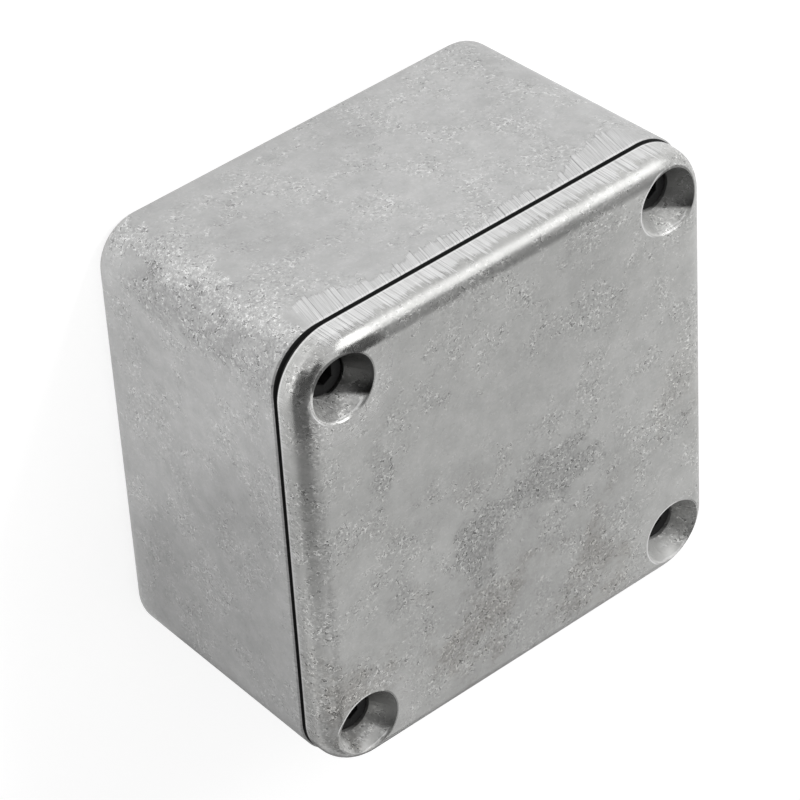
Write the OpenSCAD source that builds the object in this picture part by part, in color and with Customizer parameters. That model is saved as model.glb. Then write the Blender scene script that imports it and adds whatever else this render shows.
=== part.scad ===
// Die cast aluminium box with a screwed lid: square in plan, sealed by a rubber loop.
// The box lies on its back with the lid up. Z = 0 is the outside of the back, and X = Y = 0 its middle.

/* [Box] */
// Outside length and width at the seam
box_side = 65; // [60:1:120]
// Outside depth of the closed box, from back to lid face
box_depth = 40; // [36:1:80]
// Height of the lid's side, from its lower edge to its face
lid_depth = 4.5; // [4.4:0.05:6]
// Open seam between the rim of the base and the lid's edge
seam_gap = 0.6; // [0.3:0.05:0.8]
// Plan radius of the base's corners at the seam
base_corner_r = 7.2; // [6:0.1:9]
// Plan radius of the lid's corners at the seam
lid_corner_r = 7.8; // [6:0.1:9]
// Rounding between the sides and the back
back_edge_r = 2.8; // [1:0.1:4]
// Rounding between the lid's side and its face
face_edge_r = 3.2; // [2:0.1:4]
// Draft of the cast walls, in degrees
draft = 1.5; // [0.5:0.1:2]
// Broken edge along the seam and round the mouths of the screw recesses
edge_break = 0.2; // [0.1:0.05:0.3]

/* [Walls] */
// Thickness of the back
floor_t = 3; // [2:0.1:5]
// Thickness of the lid inside its lip
lid_t = 3; // [2.4:0.1:4]
// Rounding between the inside of the walls and the floor
floor_edge_r = 1.2; // [0.5:0.1:1.8]

/* [Seal] */
// Width of the flat rim outside the tongue
rim_land = 2; // [1.6:0.1:3]
// Width of the tongue on the rim
tongue_w = 1.4; // [1:0.1:2]
// Height of the tongue above the rim
tongue_h = 1; // [0.6:0.1:1.4]
// Width of the gasket
gasket_w = 2.2; // [1.8:0.1:2.8]
// Thickness of the pressed gasket
gasket_t = 1.4; // [1:0.1:1.6]
// Play on each side of the gasket in its groove
groove_play = 0.05; // [0.02:0.01:0.2]
// Width of the lid's lip inside the gasket
lip_w = 1.2; // [0.8:0.1:2]
// Flat rim between a pocket and the tongue that bends round it
pocket_land = 1.1; // [0.9:0.1:2]

/* [Posts] */
// Distance from the box's outside to the axes of the lid screws and wall fixings
post_inset = 6.5; // [6:0.1:8]

/* [Lid screws] */
// Width of the conical recess at the lid's face
recess_d = 9.3; // [8:0.1:11]
// Depth of the conical recess
recess_depth = 3.3; // [2:0.1:4]
// Diameter of the screw head
head_d = 5.5; // [5:0.1:6]
// Height of the screw head
head_h = 3; // [2:0.1:4]
// Depth of the head's top below the recess
head_drop = 0.25; // [0.1:0.05:0.6]
// Play round the screw head
head_play = 0.1; // [0.05:0.05:0.3]
// Width of the head's hexagon socket across its flats
socket_af = 2.5; // [2:0.1:3]
// Depth of the head's hexagon socket
socket_depth = 1.5; // [1:0.1:1.9]
// Thickness of the metal under the screw head
seat_t = 2; // [1.5:0.1:3]
// Outside diameter of the thread
thread_d = 3; // [2.6:0.1:3.2]
// Rise of the thread in one turn
thread_pitch = 0.5; // [0.35:0.05:0.7]
// Turns that free the screw from the base
thread_turns = 13; // [8:1:16]
// Radial play of the thread in its hole
thread_play = 0.05; // [0.02:0.01:0.1]
// Diameter of the thinner neck above the thread
neck_d = 2.4; // [2:0.1:2.5]
// Diameter of the hole under the head
neck_hole_d = 3.4; // [3.3:0.1:3.8]
// Diameter of the boss under the lid
boss_d = 9.2; // [8:0.1:9.8]
// Play between the boss and the base's pocket
boss_play = 0.3; // [0.2:0.05:0.5]

/* [Retaining washers] */
// Outside diameter of the washer
washer_d = 4.4; // [3.8:0.1:4.8]
// Thickness of the washer
washer_t = 0.8; // [0.5:0.1:1.2]
// Radial play of the washer on the neck
washer_play = 0.05; // [0.02:0.01:0.1]
// Radial play of the washer in the base's relief hole
relief_play = 0.2; // [0.1:0.05:0.4]
// Play above and below the washer, at either end of its travel
washer_end_play = 0.1; // [0.05:0.05:0.2]

/* [Wall fixings] */
// Diameter of the through hole for the wall screw
fixing_hole_d = 4.4; // [3.4:0.1:5]
// Diameter of the pocket for the wall screw's head
fixing_pocket_d = 8.4; // [7:0.1:8.8]
// Depth of the pocket for the wall screw's head
fixing_pocket_depth = 4; // [3:0.1:6]

/* [Board bosses] */
// Distance between neighbouring board bosses
board_pitch = 34; // [26:1:36]
// Diameter of a board boss at its top
board_boss_d = 6; // [5:0.1:7]
// Height of a board boss above the floor
board_boss_h = 5; // [3:0.1:8]
// Diameter of the tapped hole in a board boss
board_tap_d = 2.5; // [2:0.1:3.3]
// Depth of the tapped hole in a board boss
board_tap_depth = 6; // [3:0.1:6.5]

/* [Hidden] */
$fn = 96;

// How far a cutter reaches past the face that it opens
overshoot = 0.5;
// Rounding circles are larger than tangent ones by this, so that each crosses its wall and its flat cleanly
blend = 0.001;

// Heights
rim_z = box_depth - lid_depth - seam_gap;
lid_z = box_depth - lid_depth;
tongue_z = rim_z + tongue_h;
groove_z = tongue_z + gasket_t;
lid_under_z = box_depth - lid_t;

// The seal's middle line: straight along the walls, and bent inward round each post by quarter circles
post_at = box_side / 2 - post_inset;
seal_half = box_side / 2 - rim_land - tongue_w / 2;
seal_bend_r = seal_half - post_at;

// Lid screws and the holes that they pass, from the face down
SCREW_SIDES = [[-1, 1], [1, 1], [1, -1], [-1, -1]];
thread_length = thread_turns * thread_pitch;
head_hole_r = head_d / 2 + head_play;
head_z = box_depth - recess_depth - head_drop;
seat_z = head_z - head_h;
boss_z = seat_z - seat_t;
neck_length = seat_t + washer_t + thread_length + 2 * washer_end_play;
neck_z = seat_z - neck_length;
tip_z = neck_z - thread_length;
washer_z = neck_z + washer_end_play;
relief_z = neck_z - washer_end_play;
relief_r = washer_d / 2 + relief_play;
thread_hole_r = thread_d / 2 + thread_play;
thread_hole_z = tip_z - 2 * thread_pitch;
pocket_r = boss_d / 2 + boss_play;
corner_seal_r = pocket_r + pocket_land + tongue_w / 2;

// Wall fixings
fixing_seal_r = fixing_pocket_d / 2 + pocket_land + tongue_w / 2;

// Each post is [x, y, radius of the seal's middle line round it]
POSTS = concat([for (s = SCREW_SIDES) [s.x * post_at, s.y * post_at, corner_seal_r]],
               [for (s = [-1, 1]) [0, s * post_at, fixing_seal_r]]);

// Each bend joins a wall to a post: [wall's angle, post's place along the wall, post's radius, side of the post]
BENDS = concat([for (a = [0, 90, 180, 270], s = [-1, 1]) [a, s * post_at, corner_seal_r, -s]],
               [for (a = [90, 270], s = [-1, 1]) [a, 0, fixing_seal_r, s]]);

function bend_along(b) = b[1] + b[3] * (b[2] + seal_bend_r);

// Centre of the rounding between a wall with draft and a flat, h below the mouth
function round_centre(reach, h, r) = [reach - (h - r) * tan(draft) - r / cos(draft), h - r];
function foot_centre(reach, h, r) = [reach + (h - r) * tan(draft) + r / cos(draft), h - r];

// Section from an axis out to a drafted wall: the mouth at y = 0, the flat at y = h
module wall_section(reach, h, r, broken = 0) {
    c = round_centre(reach, h, r);
    mouth = broken > 0 ? [[reach - broken, 0], [reach - broken * tan(draft), broken]] : [[reach, 0]];
    intersection() {
        union() {
            polygon(concat([[0, 0]], mouth, [c + r * [cos(draft), sin(draft)], c, [c.x, h], [0, h]]));
            translate(c) circle(r + blend);
        }
        square([reach + blend, h]);
    }
}

// Section of a post that stands on the flat: it widens with the draft and flares at its foot
module post_section(reach, h, r) {
    c = foot_centre(reach, h, r);
    difference() {
        polygon([[0, 0], [reach, 0], c + r * [-cos(draft), sin(draft)], c, [c.x, h], [0, h]]);
        translate(c) circle(r + blend);
    }
}

// Drafted block with rounded corners and one rounded edge: its mouth is at z = 0, its flat at z = h
module cast_block(side, h, corner_r, edge_r, broken = 0) {
    run = side - 2 * corner_r;
    for (a = [0, 90, 180, 270]) rotate(a) {
        translate([run / 2, run / 2]) rotate_extrude(angle = 90) wall_section(corner_r, h, edge_r, broken);
        translate([run / 2, run / 2]) rotate([90, 0, 0])
            linear_extrude(run) wall_section(corner_r, h, edge_r, broken);
    }
    translate([-run / 2, -run / 2]) cube([run, run, h]);
}

// Part of the plan between a wall and a post: from the bend's centre out past the wall and back to the post
module bend_patch(b) {
    outside = box_side / 2;
    past_post = sign(b[1]) * outside - b[3] * overshoot;
    rotate(b[0]) polygon([[post_at, bend_along(b)], [outside, bend_along(b)], [outside, past_post], [post_at, b[1]]]);
}

module at_bend(b) {
    rotate(b[0]) translate([post_at, bend_along(b)]) children();
}

// Everything inside the seal's middle line moved outward by grow
module seal_area(grow) {
    difference() {
        square(2 * (seal_half + grow), center = true);
        for (p = POSTS) translate([p.x, p.y]) circle(p[2] - grow);
        for (b = BENDS) bend_patch(b);
    }
    for (b = BENDS) intersection() {
        at_bend(b) circle(seal_bend_r + grow);
        bend_patch(b);
    }
}

module seal_ring(outward, inward) {
    difference() {
        seal_area(outward);
        seal_area(-inward);
    }
}

// The hollow of the base, mouth at z = 0 and floor at z = h
module cavity(h) {
    grow = -tongue_w / 2;
    difference() {
        cast_block(2 * (seal_half + grow), h, seal_bend_r + grow, floor_edge_r);
        for (p = POSTS) translate([p.x, p.y])
            rotate_extrude() post_section(p[2] - grow, h, floor_edge_r);
        for (b = BENDS) linear_extrude(h) bend_patch(b);
    }
    for (b = BENDS) intersection() {
        at_bend(b) rotate_extrude() wall_section(seal_bend_r + grow, h, floor_edge_r);
        linear_extrude(h) bend_patch(b);
    }
}

module at_screws() {
    for (s = SCREW_SIDES) translate([s.x * post_at, s.y * post_at]) children();
}

module at_board_bosses() {
    for (x = [-1, 1], y = [-1, 1]) translate([x, y] * board_pitch / 2) children();
}

module board_bosses() {
    flare = board_boss_h * tan(draft);
    at_board_bosses() translate([0, 0, floor_t])
        cylinder(h = board_boss_h, r1 = board_boss_d / 2 + flare, r2 = board_boss_d / 2);
}

// Pocket for a lid boss, relief hole for the washer and tapped hole
module screw_hole() {
    mouth_z = rim_z + overshoot;
    rotate_extrude() polygon([
        [0, thread_hole_z], [thread_hole_r, thread_hole_z], [thread_hole_r, relief_z],
        [relief_r, relief_z], [relief_r, boss_z], [pocket_r, boss_z], [pocket_r, mouth_z], [0, mouth_z]]);
}

module fixing_holes() {
    pocket_z = rim_z - fixing_pocket_depth;
    for (s = [-1, 1]) translate([0, s * post_at]) {
        translate([0, 0, pocket_z]) cylinder(h = fixing_pocket_depth + overshoot, d = fixing_pocket_d);
        translate([0, 0, -overshoot]) cylinder(h = pocket_z + 2 * overshoot, d = fixing_hole_d);
    }
}

module base() {
    color([0.66, 0.67, 0.67]) {
        difference() {
            translate([0, 0, rim_z]) mirror([0, 0, 1])
                cast_block(box_side, rim_z, base_corner_r, back_edge_r, edge_break);
            difference() {
                union() {
                    translate([0, 0, rim_z]) mirror([0, 0, 1]) cavity(rim_z - floor_t);
                    translate([0, 0, rim_z]) linear_extrude(overshoot) seal_area(-tongue_w / 2);
                }
                board_bosses();
            }
            at_screws() screw_hole();
            fixing_holes();
            at_board_bosses() translate([0, 0, floor_t + board_boss_h - board_tap_depth])
                cylinder(h = board_tap_depth + overshoot, d = board_tap_d);
        }
        translate([0, 0, rim_z]) linear_extrude(tongue_h) seal_ring(tongue_w / 2, tongue_w / 2);
    }
}

// Conical recess with a broken edge, head hole and neck hole of a lid screw
module lid_hole() {
    recess_z = box_depth - recess_depth;
    recess_r = recess_d / 2;
    rotate_extrude() polygon([
        [0, boss_z - overshoot], [neck_hole_d / 2, boss_z - overshoot], [neck_hole_d / 2, seat_z],
        [head_hole_r, seat_z], [head_hole_r, recess_z], [recess_r - edge_break, box_depth - edge_break],
        [recess_r + overshoot, box_depth + overshoot], [0, box_depth + overshoot]]);
}

module lid() {
    groove_half = gasket_w / 2 + groove_play;
    color([0.63, 0.63, 0.64]) difference() {
        union() {
            translate([0, 0, lid_z]) cast_block(box_side, lid_depth, lid_corner_r, face_edge_r, edge_break);
            at_screws() translate([0, 0, boss_z]) cylinder(h = groove_z - boss_z, d = boss_d);
        }
        translate([0, 0, lid_z - overshoot]) {
            linear_extrude(groove_z - lid_z + overshoot) seal_ring(groove_half, groove_half);
            linear_extrude(lid_under_z - lid_z + overshoot) seal_area(-groove_half - lip_w);
        }
        at_screws() lid_hole();
    }
}

module gasket() {
    color([0.06, 0.06, 0.06]) translate([0, 0, tongue_z])
        linear_extrude(gasket_t) seal_ring(gasket_w / 2, gasket_w / 2);
}

// Cap screw with a hexagon socket, a thinner neck and a short thread
module lid_screw(side) {
    chamfer = thread_pitch / 2;
    color([0.09, 0.09, 0.1]) translate([side.x * post_at, side.y * post_at]) difference() {
        rotate_extrude() polygon([
            [0, tip_z], [thread_d / 2 - chamfer, tip_z], [thread_d / 2, tip_z + chamfer],
            [thread_d / 2, neck_z], [neck_d / 2, neck_z], [neck_d / 2, seat_z],
            [head_d / 2, seat_z], [head_d / 2, head_z - chamfer], [head_d / 2 - chamfer, head_z], [0, head_z]]);
        translate([0, 0, head_z - socket_depth])
            cylinder(h = socket_depth + overshoot, r = socket_af / 2 / cos(30), $fn = 6);
    }
}

module retaining_washer(side) {
    color([0.9, 0.88, 0.8]) translate([side.x * post_at, side.y * post_at, washer_z]) difference() {
        cylinder(h = washer_t, d = washer_d);
        translate([0, 0, -overshoot]) cylinder(h = washer_t + 2 * overshoot, r = neck_d / 2 + washer_play);
    }
}

base();
lid();
gasket();
for (i = [0:3]) {
    lid_screw(SCREW_SIDES[i]);
    retaining_washer(SCREW_SIDES[i]);
}
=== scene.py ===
# Die cast aluminium box: camera, plain studio, cast and machined finishes, and the lid screws' threads.
import math
import bmesh
import bpy
from mathutils import Matrix, Vector


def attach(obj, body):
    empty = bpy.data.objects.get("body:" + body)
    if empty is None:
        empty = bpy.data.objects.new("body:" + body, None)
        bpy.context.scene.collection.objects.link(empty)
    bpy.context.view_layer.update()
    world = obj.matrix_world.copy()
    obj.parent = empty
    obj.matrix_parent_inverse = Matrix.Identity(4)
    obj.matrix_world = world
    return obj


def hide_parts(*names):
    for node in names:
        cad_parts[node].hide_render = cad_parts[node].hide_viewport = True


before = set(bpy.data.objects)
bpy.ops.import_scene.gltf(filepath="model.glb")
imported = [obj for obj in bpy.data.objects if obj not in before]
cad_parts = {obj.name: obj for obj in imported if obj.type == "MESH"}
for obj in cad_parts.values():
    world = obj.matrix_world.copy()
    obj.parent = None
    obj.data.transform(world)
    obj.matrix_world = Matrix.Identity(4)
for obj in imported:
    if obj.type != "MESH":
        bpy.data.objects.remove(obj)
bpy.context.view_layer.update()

# Sizes of the castings in millimetres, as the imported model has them. In the photograph the lid at +Z
# faces the camera, the side at -X is on the left, and the side at +Y is on top.
MM = 0.001
HALF = 32.5                     # half of the box's side at the seam
RIM_Z = 34.9                    # rim of the base
LID_Z = 35.5                    # lower edge of the lid
FACE_Z = 40.0                   # lid's face
CORNER_R = 7.2                  # plan radius of the corners
POST_AT = 26.0                  # lid screws, both ways from the middle
RECESS_R = 4.65                 # conical recess at the lid's face
SCREW_SIDES = [(-1, 1), (1, 1), (1, -1), (-1, -1)]

# Lid screw, from the top down
HEAD_R = 2.75
HEAD_Z = 36.45
SOCKET_AF = 2.5                 # across the flats
SOCKET_DEPTH = 1.5
SEAT_Z = 33.45                  # lid's seat for the head
UNDER_HEAD_Z = SEAT_Z + 0.01    # head's underside, drawn just clear of the seat
NECK_R = 1.2
NECK_Z = 23.95                  # lower end of the neck
THREAD_R = 1.5
PITCH = 0.5
TIP_Z = 17.45

BLACK = (0.0, 0.0, 0.0, 1.0)
WHITE = (1.0, 1.0, 1.0, 1.0)
# BRIGHT also gives the painted highlights on the recess mouths and ridges
BRIGHT = (0.82, 0.82, 0.82, 1.0)    # aluminium rubbed bright
# Painted shade for the seam between lid and base
PAINTED_GAP_SHADE = (0.03, 0.03, 0.03, 1.0)
SKY = 0.5                           # what the world adds to a white card


# Camera and lamps

def add_camera():
    """The photograph's camera, looking down at the box's upper left corner with the lid towards it."""
    data = bpy.data.cameras.new("photo_camera")
    data.sensor_width = 36.0
    data.lens = 182.565
    data.clip_start = 0.01
    data.clip_end = 20.0
    place = Vector((-252.28, 310.07, 329.16)) * MM
    back = Vector((-0.4967, 0.6148, 0.6126)).normalized()
    right = Vector((0.4367, 0.7870, -0.4357)).cross(back).normalized()
    turn = Matrix((right, back.cross(right), back)).transposed().to_4x4()
    camera = bpy.data.objects.new("photo_camera", data)
    camera.matrix_world = Matrix.Translation(place) @ turn
    bpy.context.collection.objects.link(camera)
    bpy.context.scene.camera = camera


def add_lamp(name, toward, distance, width, level, mirrored=True):
    """A square lamp that shines on the box; level is what it adds to a white card that faces it."""
    data = bpy.data.lights.new(name, "AREA")
    data.shape = "SQUARE"
    data.size = width
    data.energy = level * math.pi ** 2 * distance ** 2
    lamp = bpy.data.objects.new(name, data)
    toward = Vector(toward).normalized()
    lamp.location = Vector((0, 0, FACE_Z / 2 * MM)) + toward * distance
    lamp.rotation_euler = toward.to_track_quat("Z", "Y").to_euler()
    lamp.visible_glossy = mirrored
    bpy.context.collection.objects.link(lamp)


# Nodes and values of the materials

class Value:
    """A number that changes over a surface: arithmetic on it adds the nodes."""

    def __init__(self, nodes, socket):
        self.nodes, self.socket = nodes, socket

    def __add__(self, other):
        return self.nodes.math("ADD", self, other)

    def __sub__(self, other):
        return self.nodes.math("SUBTRACT", self, other)

    def __rsub__(self, other):
        return self.nodes.math("SUBTRACT", other, self)

    def __mul__(self, other):
        return self.nodes.math("MULTIPLY", self, other)

    def __truediv__(self, other):
        return self.nodes.math("DIVIDE", self, other)

    def __pow__(self, other):
        return self.nodes.math("POWER", self, other)

    def __abs__(self):
        return self.nodes.math("ABSOLUTE", self)

    __radd__, __rmul__ = __add__, __mul__


class Nodes:
    """The nodes of a material or of the world."""

    def __init__(self, tree):
        self.tree = tree

    def node(self, kind, settings=None, links=None, out=0):
        """A node of this type; its settings come first, then the values or links of its sockets."""
        node = self.tree.nodes.new(kind)
        for name, value in (settings or {}).items():
            setattr(node, name, value)
        for name, value in (links or {}).items():
            self.feed(node.inputs[name], value)
        return Value(self, node.outputs[out])

    def feed(self, socket, value):
        """Links a value to a socket, or sets a plain number or colour on it."""
        if isinstance(value, Value):
            self.tree.links.new(value.socket, socket)
        else:
            socket.default_value = value

    def math(self, operation, *values):
        return self.node("ShaderNodeMath", {"operation": operation}, dict(enumerate(values)))

    def most(self, *values):
        top = values[0]
        for value in values[1:]:
            top = self.math("MAXIMUM", top, value)
        return top

    def least(self, a, b):
        return self.math("MINIMUM", a, b)

    def rise(self, value, low, high):
        """0 at low and 1 at high, smoothly; low may be the larger of the two."""
        return self.node("ShaderNodeMapRange", {"interpolation_type": "SMOOTHSTEP"},
                         {"Value": value, "From Min": low, "From Max": high})

    def mix(self, mask, a, b):
        """Colour a where the mask is 0, b where it is 1."""
        return self.node("ShaderNodeMix", {"data_type": "RGBA"}, {0: mask, 6: a, 7: b}, out=2)

    def grey(self, tone, tint=WHITE):
        """The tint at a tone from 0, black, to 1."""
        return self.mix(tone, BLACK, tint)

    def looked_at(self):
        """1 for rays that look straight, mirror or shine through, 0 for rays that gather light."""
        kinds = ("Camera", "Glossy", "Transmission")
        return self.most(*(self.node("ShaderNodeLightPath", out=f"Is {kind} Ray") for kind in kinds))


class Finish(Nodes):
    """A material with one shader, and places on the box in millimetres."""

    def __init__(self, name, **fixed):
        self.material = bpy.data.materials.new(name)
        self.material.use_nodes = True
        super().__init__(self.material.node_tree)
        self.shader = self.tree.nodes["Principled BSDF"]
        self.wire(**fixed)
        metres = self.node("ShaderNodeTexCoord", out="Object")
        self.place = self.node("ShaderNodeVectorMath", {"operation": "SCALE"},
                               {"Vector": metres, "Scale": 1 / MM})
        self.x, self.y, self.z = (self.node("ShaderNodeSeparateXYZ", links={"Vector": self.place}, out=axis)
                                  for axis in "XYZ")

    def wire(self, **inputs):
        """Feeds the shader's sockets, such as Base_Color."""
        for socket, value in inputs.items():
            self.feed(self.shader.inputs[socket.replace("_", " ")], value)

    def at(self, x, y, z=0.0):
        return self.node("ShaderNodeCombineXYZ", {}, {"X": x, "Y": y, "Z": z})

    def noise(self, per_mm, detail=2.0, rough=0.5, shift=0.0, place=None):
        """Noise round 0, seldom past -0.3 or 0.3."""
        moved = self.node("ShaderNodeVectorMath", {"operation": "ADD"},
                          {0: place or self.place, 1: (shift, -shift, shift)})
        return self.node("ShaderNodeTexNoise", {},
                         {"Vector": moved, "Scale": per_mm, "Detail": detail, "Roughness": rough}) - 0.5

    def relief(self, height):
        """Small relief from a height in millimetres."""
        bump = self.node("ShaderNodeBump", {}, {"Height": height, "Distance": MM, "Strength": 1.0})
        self.wire(Normal=bump)


# Wear and surface of the castings

class Casting:
    """Tumbled casting: slow clouds, mottling, and clusters of short scuffs, with bright flecks painted as
    glints beside dark ones painted as shade.
    """

    def __init__(self, f, scuffed, busier):
        """scuffed is how strong the scuffs are, and busier widens their clusters."""
        cloud = f.noise(0.07, 3.0, 0.6)
        mottle = f.noise(0.42, 4.0, 0.62, shift=40)
        clusters = f.rise(f.noise(0.17, 4.0, 0.65, shift=90) + busier, -0.06, 0.12)
        grain = f.noise(2.4, 3.0, 0.62, shift=15)
        drawn_out = f.at((f.x - f.z) * 0.8, (f.x + f.z) * 0.5, f.y)
        field = f.noise(1.8, 2.0, 0.6, shift=70, place=drawn_out)
        short = f.rise(f.noise(1.4, 1.0, shift=33), -0.03, 0.08)
        # Flecks of the scuffs: bright ones are painted glints and dark ones painted shade, besides their
        # relief
        speck_and_glint = f.rise(abs(field), 0.05, 0.005) * short
        pit_and_shade = f.rise(abs(field - 0.08), 0.05, 0.005) * short
        busy = (0.15 + 0.85 * clusters) * scuffed
        # Colour of the metal, with the scuffs' painted glints and painted shade
        self.tone = 1 + 0.4 * cloud + 0.42 * mottle + busy * (0.9 * grain + 0.52 * speck_and_glint - 0.42 * pit_and_shade)
        rough = (0.012 + 0.05 * scuffed * clusters) * grain
        self.relief = rough + 0.06 * mottle + 0.003 * (speck_and_glint - pit_and_shade) * busy


class Strokes:
    """Belt strokes across the seam: fine streaks, dark lines between some strokes, and torn ends."""

    def __init__(self, f, shift, lean, bend, tone):
        """lean and bend slant the strokes on the sides at +Y and -Y; tone is the rubbed metal's."""
        self.y_sides = f.rise(abs(f.y) - abs(f.x), -0.5, 0.5)
        slanted = f.x + lean * f.z + bend * f.y
        self.along = self.y_sides * slanted + (1 - self.y_sides) * (f.y - 0.1 * f.z)
        uneven = f.noise(0.6, 1.0, place=f.at(self.along, 30.0 * self.y_sides, shift))
        place = self.along * 1.7 + 3.0 * uneven + 60.0 * self.y_sides + shift
        cell = f.math("FLOOR", place)
        self.pick = f.node("ShaderNodeTexWhiteNoise", {"noise_dimensions": "1D"}, {"W": cell}) - 0.5
        line = f.rise(abs(place - cell - 0.5), 0.38, 0.46) * f.rise(self.pick, 0.0, 0.1)
        fine = f.at(self.along * 6.0, f.z * 0.15, self.y_sides * 50.0 + shift)
        self.streaks = f.noise(1.0, 2.0, 0.7, place=fine)
        self.tone = tone + 0.08 * self.pick + 0.65 * self.streaks - 0.3 * line
        self.relief = 0.02 * self.streaks - 0.02 * line

    def band(self, f, width, depth, tear):
        """Where the belt has cut, to about this width, and its colour; tear darkens the torn ends."""
        reach = width + 0.9 * self.pick + 2.6 * self.streaks - depth
        torn = f.rise(reach, -0.15, 0.05) * f.rise(reach, 0.5, 0.15) * f.rise(self.streaks, -0.02, 0.06)
        return f.rise(reach, -0.1, 0.2), f.grey(self.tone - tear * torn)


def outer_side(f):
    """1 on the box's outer sides, 0 inside it."""
    return f.rise(f.most(abs(f.x), abs(f.y)), HALF - 3.2, HALF - 2.8)


def straight_run(f, off, full):
    """1 along a side and 0 at the corners; off and full count from where the corner's bend starts."""
    return f.rise(f.least(abs(f.x), abs(f.y)), HALF - CORNER_R + off, HALF - CORNER_R + full)


def patch(f, from_x, from_y, reach_x, reach_y, wobble):
    """A spot with a ragged border, from two distances to its middle and how far it reaches."""
    u = from_x / reach_x
    v = from_y / reach_y
    return f.rise(u * u + v * v + wobble, 1.6, 0.3)


# Finishes

def base_finish():
    f = Finish("cast_base", Metallic=0.6)

    # The upper left corner is peened, with glints painted on it as bright flecks, and duller casting below
    # it
    turn = f.x + f.y + 14.0 * f.noise(0.3, 3.0, 0.6, shift=8)
    corner = f.rise(f.x, -24.0, -25.5) * f.rise(f.y, 24.0, 25.5)
    peened = f.rise(turn, -1.5, 1.0) * f.rise(turn, 6.5, 4.5) * corner
    below = f.rise(turn, -9.5, -5.0) * f.rise(turn, 2.2, -0.8) * f.rise(f.z, 3.0, 12.0) * corner
    # Glints painted as bright flecks on the peened corner
    painted_glints = f.rise(f.noise(4.6, 2.0, 0.65, shift=55), 0.04, 0.2) * peened
    cast = Casting(f, 1.0 + 0.2 * peened + 0.1 * below, 0.3 * peened + 0.08 * below)

    # Linished under the rim, more towards the ends of the sides at +Y and -Y and hardly on the others
    belt = Strokes(f, shift=3.0, lean=0.27, bend=0.0, tone=0.54)
    outside = outer_side(f)
    run = straight_run(f, 1.5, -0.5)
    wander = f.noise(0.1, 1.0, shift=7, place=f.at(belt.along, belt.y_sides * 30.0))
    end = f.least(abs(f.x), abs(f.y)) / POST_AT
    wide = 1.9 + 2.2 * end * end + 7.0 * wander
    cut, belt_colour = belt.band(f, 0.5 + belt.y_sides * (wide - 0.5), RIM_Z - f.z, 0.25)
    band = cut * outside * run * (0.35 + 0.5 * belt.y_sides)

    # Edge that rubbed bright along the seam, and the flat rim, with painted shade on its outer strip in the
    # seam and paler further in
    edge = f.rise(f.z, RIM_Z - 0.22, RIM_Z - 0.16) * f.rise(f.z, RIM_Z - 0.02, RIM_Z - 0.06) * outside * run
    rim = f.rise(f.z, RIM_Z - 0.02, RIM_Z - 0.005)
    qx, qy = (f.most(abs(v) - HALF + CORNER_R, 0.0) for v in (f.x, f.y))
    seam_shade_painted = f.rise((qx * qx + qy * qy) ** 0.5, CORNER_R - 1.3, CORNER_R - 0.9)

    # Cold flow mark on the left side
    wobble = 3.0 * f.noise(0.25, 3.0, 0.6, shift=77)
    flow = patch(f, f.y - 2.5, f.z - 27.5, 10.0, 7.5, wobble) * f.rise(f.x, -31.0, -31.5)

    # Sides at +Y and -Y: painted light towards +X and painted shade towards -X
    painted_light_drift = belt.y_sides * (0.07 * f.rise(f.x, 4.0, 26.0) - 0.045 * f.rise(f.x, -6.0, -20.0))

    # Tone with the corner's painted glints, and painted light and painted shade along the sides at +Y and
    # -Y
    tone = (cast.tone + 0.55 * painted_glints - 0.03 * peened - 0.2 * below) * (1 - 0.06 * flow) * (1 + painted_light_drift)
    colour = f.mix(band, f.grey(0.44 * tone, (1.0, 1.0, 0.995, 1.0)), belt_colour)
    colour = f.mix(edge * (0.08 + 0.22 * belt.y_sides), colour, BRIGHT)
    # Painted shade on the rim's outer strip, where it shows in the seam
    colour = f.mix(rim, colour, f.grey(0.36 - 0.31 * seam_shade_painted))
    f.wire(Base_Color=colour, Roughness=0.5 - 0.1 * band - 0.1 * peened + 0.15 * edge)
    f.relief(cast.relief * (1 - 0.85 * band) + (belt.relief - 0.03) * band)
    return f.material


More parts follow.
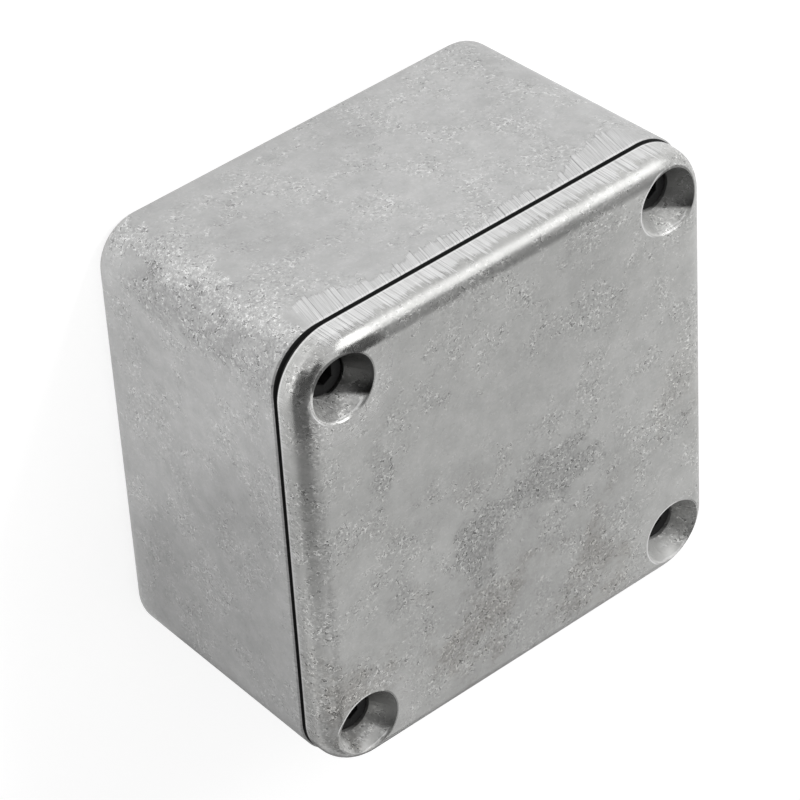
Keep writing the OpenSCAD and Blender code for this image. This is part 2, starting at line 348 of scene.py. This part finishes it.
def lid_finish():
    f = Finish("cast_lid")

    # Smudges on the face, stronger and faintly brown towards -Y, painted shade darkening the face towards
    # -Y, and one calmer place
    wobble = 5.0 * f.noise(0.3, 4.0, 0.65, shift=31)
    spots = [depth * patch(f, f.x - x, f.y - y, reach_x, reach_y, wobble)
             for x, y, reach_x, reach_y, depth in ((-21.5, 11.5, 2.0, 5.0, 0.75),
                                                   (6.0, -4.5, 6.5, 4.5, 1.0),
                                                   (-7.0, -8.5, 4.0, 5.5, 1.0),
                                                   (-20.0, -9.0, 2.5, 3.5, 0.45))]
    smudge = f.rise(f.noise(0.06, 4.0, 0.68, shift=23) + 0.25 * f.noise(1.2, 2.0, 0.6), -0.02, 0.16)
    # Towards -Y: more smudges and browning, and painted shade on the face
    smudged_and_shaded_low = f.rise(f.y, 12.0, -20.0)
    dark = f.most(smudge * (0.15 + 0.6 * smudged_and_shaded_low), *spots)
    calm = patch(f, f.x + 6.0, f.y - 10.0, 13.0, 7.0, wobble)

    # Rounded edge of the face, smoother and glossier along the sides at +Y and -Y
    belt = Strokes(f, shift=17.0, lean=0.0, bend=0.8, tone=0.62)
    outside = outer_side(f)
    run = straight_run(f, 3.0, 0.0)
    bend = f.rise(f.z, FACE_Z - 0.02, FACE_Z - 0.4)
    gloss = belt.y_sides * f.rise(f.z, FACE_Z - 0.3, FACE_Z - 0.7) * outside * run
    cast = Casting(f, 1.3 + 0.5 * dark + 0.2 * bend - 0.9 * gloss, 0.16 * dark - 0.12 * calm + 0.05 * bend)

    # Linished above the seam, with an edge that rubbed bright, and painted shade under that edge, in the
    # seam
    cut, belt_colour = belt.band(f, 0.9 + 1.7 * belt.y_sides, f.z - LID_Z, 0.08)
    band = cut * outside * run * (0.4 + 0.4 * belt.y_sides)
    edge = f.rise(f.z, LID_Z + 0.28, LID_Z + 0.34) * f.rise(f.z, LID_Z + 0.6, LID_Z + 0.5)
    edge = edge * outside * (0.9 + 0.1 * belt.y_sides)
    # Lid's lower edge where it shows in the seam, for painted shade
    under = f.rise(f.z, LID_Z + 0.33, LID_Z + 0.27) * f.rise(f.z, LID_Z - 0.1, LID_Z - 0.02) * outside

    # Screw recesses: a painted highlight on the mouth's left and painted shade on its right, and ridges
    # below it with a painted highlight
    dx = f.x - POST_AT * f.math("SIGN", f.x)
    dy = f.y - POST_AT * f.math("SIGN", f.y)
    axis = (dx * dx + dy * dy) ** 0.5
    recess = f.rise(axis, RECESS_R + 0.02, RECESS_R - 0.1) * f.rise(f.z, 30.0, 33.0)
    mouth = f.rise(axis, RECESS_R - 0.02, RECESS_R + 0.04) * f.rise(axis, RECESS_R + 0.22, RECESS_R + 0.14)
    mouth = mouth * f.rise(f.z, FACE_Z - 0.4, FACE_Z - 0.2)
    # Sides of each mouth: a painted highlight on the left and painted shade on the right
    left = f.rise(0.4 * dy - dx, 0.5, 2.5)
    right = f.rise(dx, 2.0, 3.5)
    ridge = abs(axis - RECESS_R + 0.35 + 0.5 * f.noise(0.35, 1.0, shift=61))
    # Ridges low in each recess, with a painted highlight along them
    ridges_painted_bright = f.rise(ridge, 0.07, 0.02) * f.rise(dy, -2.5, -3.5) * recess

    # Inside a recess: painted shade above, most in the two at +Y, painted light at the lower left, painted
    # shade at the right
    shaded = 0.25 + 0.65 * f.rise(f.y, -1.0, 1.0) + 0.1 * f.rise(f.x, 1.0, -1.0)
    # Painted shade on the upper part of each recess
    upper = f.rise(0.55 * (dx + FACE_Z - f.z) + dy, -1.1, -0.3) * shaded
    pale = f.rise(-0.77 * dx - 0.64 * dy, 1.5, 3.0)
    painted_shade_far = f.rise(0.66 * dx - 0.75 * dy, 3.2, 4.4)
    # Recess tone with its painted shade and painted light
    recess_painted_shading = 1 + recess * (0.12 - 0.72 * upper + 0.2 * pale - 0.35 * painted_shade_far)

    # More metallic round the two recesses on the left, and chalky on the left rounding towards -Y
    near = f.rise(axis, 9.0, 6.0) * f.rise(f.x, 0.0, -10.0)
    chalky = f.rise(f.x, -27.5, -29.0) * f.rise(f.z, 37.0, 38.2) * bend * f.rise(f.y, 22.0, -18.0)

    # Face tone: smudges, painted shade towards -Y, and painted light towards +X
    face = 1 - 0.18 * dark - 0.08 * smudged_and_shaded_low + 0.25 * chalky + 0.14 * f.rise(f.x, 8.0, 26.0)
    # Painted shade on the right of each recess mouth
    tone = cast.tone * face * recess_painted_shading - 0.4 * mouth * right
    clean = f.grey(0.41 * tone, (1.0, 1.0, 0.98, 1.0))
    browned = f.grey(0.37 * tone, (1.0, 0.965, 0.91, 1.0))
    colour = f.mix(0.6 * smudge * smudged_and_shaded_low, clean, browned)
    colour = f.mix(band, colour, belt_colour)
    # Rubbed bright edge, and painted highlights on the left of the recess mouths and on the ridges
    colour = f.mix(0.35 * f.most(edge, 2.0 * mouth * left, ridges_painted_bright), colour, BRIGHT)
    # Painted shade on the lid's lower edge in the seam
    colour = f.mix(under, colour, PAINTED_GAP_SHADE)
    metal = 0.75 + 0.15 * near - 0.42 * chalky - 0.45 * mouth * left + recess * (0.35 * upper - 0.3)
    f.wire(Base_Color=colour, Metallic=metal, Roughness=0.34 - 0.14 * near + recess * (0.02 + 0.16 * upper))
    relief = cast.relief * (1 - 0.85 * band) * (1 - 0.5 * near)
    relief = relief * (1 - 0.3 * bend - 0.35 * gloss) * (1 - 0.4 * recess)
    f.relief(relief + (belt.relief - 0.03) * band + 0.006 * ridges_painted_bright)
    return f.material


def rubber_finish():
    f = Finish("gasket_rubber", Specular_IOR_Level=0.35)
    speck = f.noise(4.0)
    f.wire(Base_Color=f.grey(0.025 + 0.014 * speck), Roughness=0.62 + 0.25 * speck)
    f.relief(0.01 * speck)
    return f.material


def black_oxide_finish():
    f = Finish("black_oxide", Metallic=0.2, Specular_IOR_Level=0.3)
    speck = f.noise(5.0, 3.0, 0.6)
    worn = f.rise(f.noise(1.2, 3.0, 0.6, shift=5), 0.08, 0.25)
    f.wire(Base_Color=f.grey(0.012 + 0.01 * speck + 0.012 * worn), Roughness=0.5 + 0.2 * speck)
    f.relief(0.004 * speck)
    return f.material


def nylon_finish():
    f = Finish("natural_nylon", Subsurface_Weight=0.1, Specular_IOR_Level=0.45)
    cloud = f.noise(0.8)
    colour = f.mix(cloud + 0.5, (0.72, 0.7, 0.62, 1.0), (0.8, 0.78, 0.7, 1.0))
    f.wire(Base_Color=colour, Roughness=0.5 + 0.16 * cloud)
    f.relief(0.004 * f.noise(6.0))
    return f.material


# Studio surfaces

def add_world():
    """White behind everything, with a softer level for the light that it gives."""
    world = bpy.data.worlds.new("studio")
    bpy.context.scene.world = world
    world.use_nodes = True
    nodes = Nodes(world.node_tree)
    background = world.node_tree.nodes["Background"]
    nodes.feed(background.inputs["Color"], WHITE)
    nodes.feed(background.inputs["Strength"], SKY + (1 - SKY) * nodes.looked_at())


def add_sheet(name, finish, corners):
    """A stage surface between two rows of corners, in millimetres."""
    row = len(corners) // 2
    mesh = bpy.data.meshes.new(name)
    faces = [(i, i + 1, i + 1 + row, i + row) for i in range(row - 1)]
    mesh.from_pydata([Vector(c) * MM for c in corners], [], faces)
    mesh.materials.append(finish.material)
    sheet = bpy.data.objects.new(name, mesh)
    bpy.context.collection.objects.link(sheet)
    return sheet


def flat(x1, x2, y1, y2, z):
    """Corners of a level sheet."""
    return [(x1, y1, z), (x2, y1, z), (x1, y2, z), (x2, y2, z)]


def wall(first, last, foot, top):
    """Corners of a wall round the box from one turn to another, counted in degrees from +X towards +Y."""
    steps, distance = 12, 1200
    turns = [math.radians(first + (last - first) * i / steps) for i in range(steps + 1)]
    return [(distance * math.cos(a), distance * math.sin(a), z) for z in (foot, top) for a in turns]


def add_floor():
    """Pale floor: white where it is lit, and a faint shadow under the box."""
    f = Finish("studio_floor", Base_Color=(0.5, 0.5, 0.5, 1.0), Roughness=1.0, Specular_IOR_Level=0.0,
               Emission_Strength=1.0)
    f.wire(Emission_Color=f.grey(0.66 * f.looked_at()))
    add_sheet("floor", f, flat(-3000, 3000, -3000, 3000, -0.05))


def add_cards():
    """Surroundings that only the metal mirrors: walls on the box's left and below it, and three cards."""
    dark, middle, pale = (Finish(f"card_{name}", Base_Color=(tone, tone, tone, 1.0), Roughness=1.0,
                                 Specular_IOR_Level=0.0)
                          for name, tone in (("dark", 0.02), ("middle", 0.3), ("pale", 0.9)))
    cards = (("wall_left", dark, wall(140, 190, 380, 2600)),
             ("wall_upper_left", dark, wall(112, 140, 900, 2600)),
             ("foot_left", middle, wall(140, 190, 0, 380)),
             ("wall_lower_left", middle, wall(190, 218, 0, 2600)),
             ("foot_lower_left", middle, wall(218, 282, 0, 1400)),
             ("wall_below", dark, wall(282, 315, 0, 150)),
             ("card_above", dark, [(180, -380, 700), (700, -300, 650), (260, 330, 800), (700, 340, 600)]),
             ("card_on_floor", pale, flat(-600, -34, -600, -14, 0.3)),
             ("card_below", middle, flat(-34, 110, -260, -38, 0.3)))
    for name, finish, corners in cards:
        card = add_sheet(name, finish, corners)
        card.visible_camera = card.visible_diffuse = card.visible_shadow = card.visible_transmission = False


# Lid screws with their threads

def thread_radius(z, turn):
    """Right-handed thread between the neck and the tip, with its flanks at 60 degrees."""
    half_crest, flank = 1 / 16, 5 / 16      # along the axis, of a pitch
    place = (z / PITCH - turn) % 1.0
    crest = 1 - min(1.0, max(0.0, (abs(place - 0.5) - half_crest) / flank))
    root = THREAD_R - 0.54 * PITCH
    chamfer = THREAD_R - PITCH / 2 + (z - TIP_Z)
    run_out = NECK_R + (NECK_Z - z)
    return min(root + (THREAD_R - root) * crest, chamfer, run_out)


def screw_mesh(cx, cy):
    """Socket cap screw as rings of points from the socket's bottom over the head and down to the tip."""
    around = 96                     # points in a ring
    knurls, knurl_depth = 24, 0.05
    rounding = 0.25                 # of the head's upper edge
    thread_rings = 10               # for each turn of the thread
    socket_z = HEAD_Z - SOCKET_DEPTH
    turns = [i / around for i in range(around)]

    def circle(radius):
        return lambda turn: radius

    def hexagon(turn):
        return SOCKET_AF / 2 / math.cos(math.radians((turn * 360 + 30) % 60 - 30))

    def knurl(turn):
        return HEAD_R - knurl_depth * (0.5 - 0.5 * math.cos(turn * knurls * 2 * math.pi))

    def thread(z):
        return lambda turn: thread_radius(z, turn)

    # Heights with the radius at each turn
    rings = [(socket_z, hexagon), (HEAD_Z - 0.12, hexagon), (HEAD_Z, circle(SOCKET_AF * 0.64))]
    for step in range(5):
        a = math.radians(22.5 * step)
        rings.append((HEAD_Z - rounding * (1 - math.cos(a)),
                      circle(HEAD_R - rounding - knurl_depth + rounding * math.sin(a))))
    rings += [(HEAD_Z - 0.35, knurl),
              (SEAT_Z + 0.2, knurl),
              (SEAT_Z + 0.1, circle(HEAD_R - 0.06)),
              (UNDER_HEAD_Z, circle(HEAD_R - 0.1)),
              (UNDER_HEAD_Z, circle(NECK_R + 0.15)),
              (SEAT_Z - 0.15, circle(NECK_R)),
              (NECK_Z, circle(NECK_R))]
    rows = round((NECK_Z - TIP_Z) / PITCH * thread_rings)
    for row in range(1, rows + 1):
        z = NECK_Z - (NECK_Z - TIP_Z) * row / rows
        rings.append((z, thread(z)))

    points = [(cx, cy, socket_z - 0.3)]
    for z, radius in rings:
        for turn in turns:
            a = 2 * math.pi * turn
            points.append((cx + radius(turn) * math.cos(a), cy + radius(turn) * math.sin(a), z))
    points.append((cx, cy, TIP_Z))
    faces = [(0, 1 + i, 1 + (i + 1) % around) for i in range(around)]
    for ring in range(len(rings) - 1):
        a = 1 + ring * around
        faces += [(a + (i + 1) % around, a + i, a + around + i, a + around + (i + 1) % around)
                  for i in range(around)]
    a = 1 + (len(rings) - 1) * around
    faces += [(a + (i + 1) % around, a + i, len(points) - 1) for i in range(around)]

    mesh = bpy.data.meshes.new("screw")
    mesh.from_pydata([Vector(p) * MM for p in points], [], faces)
    solid = bmesh.new()
    solid.from_mesh(mesh)
    bmesh.ops.recalc_face_normals(solid, faces=solid.faces)
    for face in solid.faces:
        face.smooth = True
    for edge in solid.edges:
        edge.smooth = edge.calc_face_angle(0.0) < math.radians(32)
    solid.to_mesh(mesh)
    solid.free()
    return mesh


def add_screws(material):
    """One threaded screw for each plain one, riding on that screw's body."""
    for n, (sx, sy) in enumerate(SCREW_SIDES, 1):
        screw = bpy.data.objects.new(f"threaded_screw_{n}", screw_mesh(sx * POST_AT, sy * POST_AT))
        bpy.context.collection.objects.link(screw)
        screw.data.materials.append(material)
        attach(screw, f"screw_{n}")
        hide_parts(f"lid_screw_{n}")


# Assembly

add_camera()
add_world()
add_floor()
add_cards()
add_lamp("key", (0.42, 0.66, 0.62), 0.4, 0.15, 0.38, mirrored=False)
add_lamp("glint", (0.46, 0.64, 0.62), 0.5, 0.25, 0.17)
add_lamp("fill_left", (-0.8, 0.55, 0.22), 0.25, 0.15, 0.6, mirrored=False)
bpy.context.scene.view_settings.view_transform = "Standard"

finishes = {"base": base_finish(), "lid": lid_finish(), "gasket": rubber_finish()}
nylon = nylon_finish()
for n in range(1, 5):
    finishes[f"retaining_washer_{n}"] = nylon
for name, material in finishes.items():
    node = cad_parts[name]
    node.data.materials.clear()
    node.data.materials.append(material)
add_screws(black_oxide_finish())
